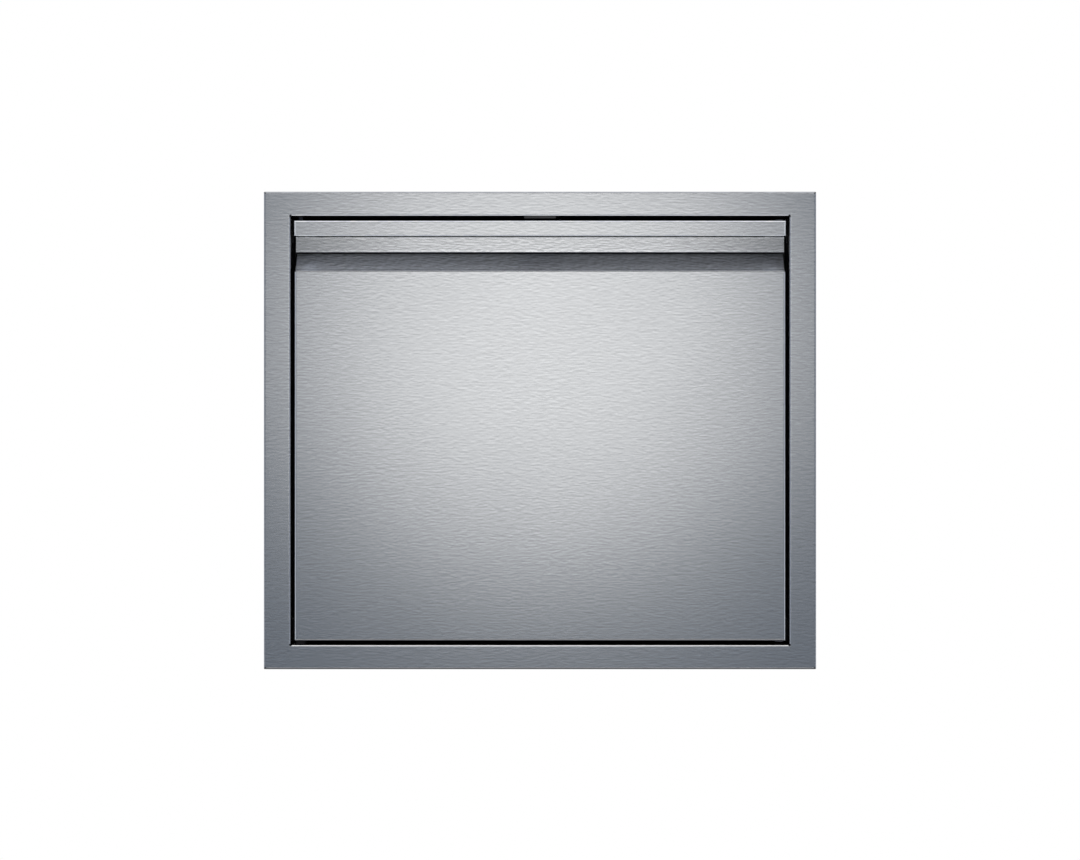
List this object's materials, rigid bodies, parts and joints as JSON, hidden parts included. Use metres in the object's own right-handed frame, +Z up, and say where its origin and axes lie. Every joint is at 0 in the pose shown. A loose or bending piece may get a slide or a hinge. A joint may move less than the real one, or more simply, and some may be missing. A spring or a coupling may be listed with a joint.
{
  "type": "single access door",
  "caption": "Flush stainless access door in a folded face frame for an outdoor kitchen, with a full-width recessed pull along its top and concealed pivots on the left.",
  "frame": {"origin": "middle of the face frame on the plane where its returns meet the wall", "axes": "+X to the right along the width, +Y into the wall, +Z up; the door's front looks along -Y"},
  "size_m": [0.6096, 0.066, 0.527],
  "materials": {
    "brushed_sheet": "satin, brushed along the door",
    "liner_sheet": "satin",
    "mill_sheet": "mill finish",
    "block_steel": "satin",
    "bright_steel": "bright",
    "strike_steel": "satin",
    "seal_rubber": "matt",
    "black_plastic": "matt",
    "grey_plastic": "matt",
    "magnet_ferrite": "matt"
  },
  "bodies": {
    "frame": {"face_frame": "brushed_sheet", "stop_rail_top": "mill_sheet", "stop_rail_bottom": "mill_sheet", "stop_rail_left": "mill_sheet", "stop_rail_right": "mill_sheet", "door_seal": "seal_rubber", "pivot_reinforcements": "mill_sheet", "upper_bushing": "black_plastic", "lower_bushing": "black_plastic", "thrust_washer": "black_plastic", "frame_hole_plugs": "black_plastic", "catch_body": "grey_plastic", "catch_magnet": "magnet_ferrite", "catch_rivets": "bright_steel"},
    "door": {"door_skin": "brushed_sheet", "grip_channel": "brushed_sheet", "grip_end_plates": "brushed_sheet", "door_liner": "liner_sheet", "liner_screws": "bright_steel", "door_stiffeners": "mill_sheet", "strike_plate": "strike_steel", "lower_pivot_plates": "mill_sheet", "lower_pivot_pin": "bright_steel", "lip_block_left": "block_steel", "lip_block_right": "block_steel", "spring_cap": "bright_steel", "pin_spring": "bright_steel", "door_hole_plugs": "black_plastic"},
    "upper_pin": {"upper_pivot_pin": "bright_steel", "pin_lever": "bright_steel"}
  },
  "joints": [
    {"name": "door_hinge", "type": "hinge", "parent": "frame", "child": "door", "pos_m": [-0.26435, -0.003, 0], "axis": [0, 0, -1], "range_deg": [0, 105]},
    {"name": "upper_pin_slide", "type": "slide", "parent": "door", "child": "upper_pin", "axis": [0, 0, -1], "range_m": [0, 0.0045], "stiffness_N_per_m": 900, "springref_m": -0.004, "deforming": ["pin_spring"]}
  ]
}
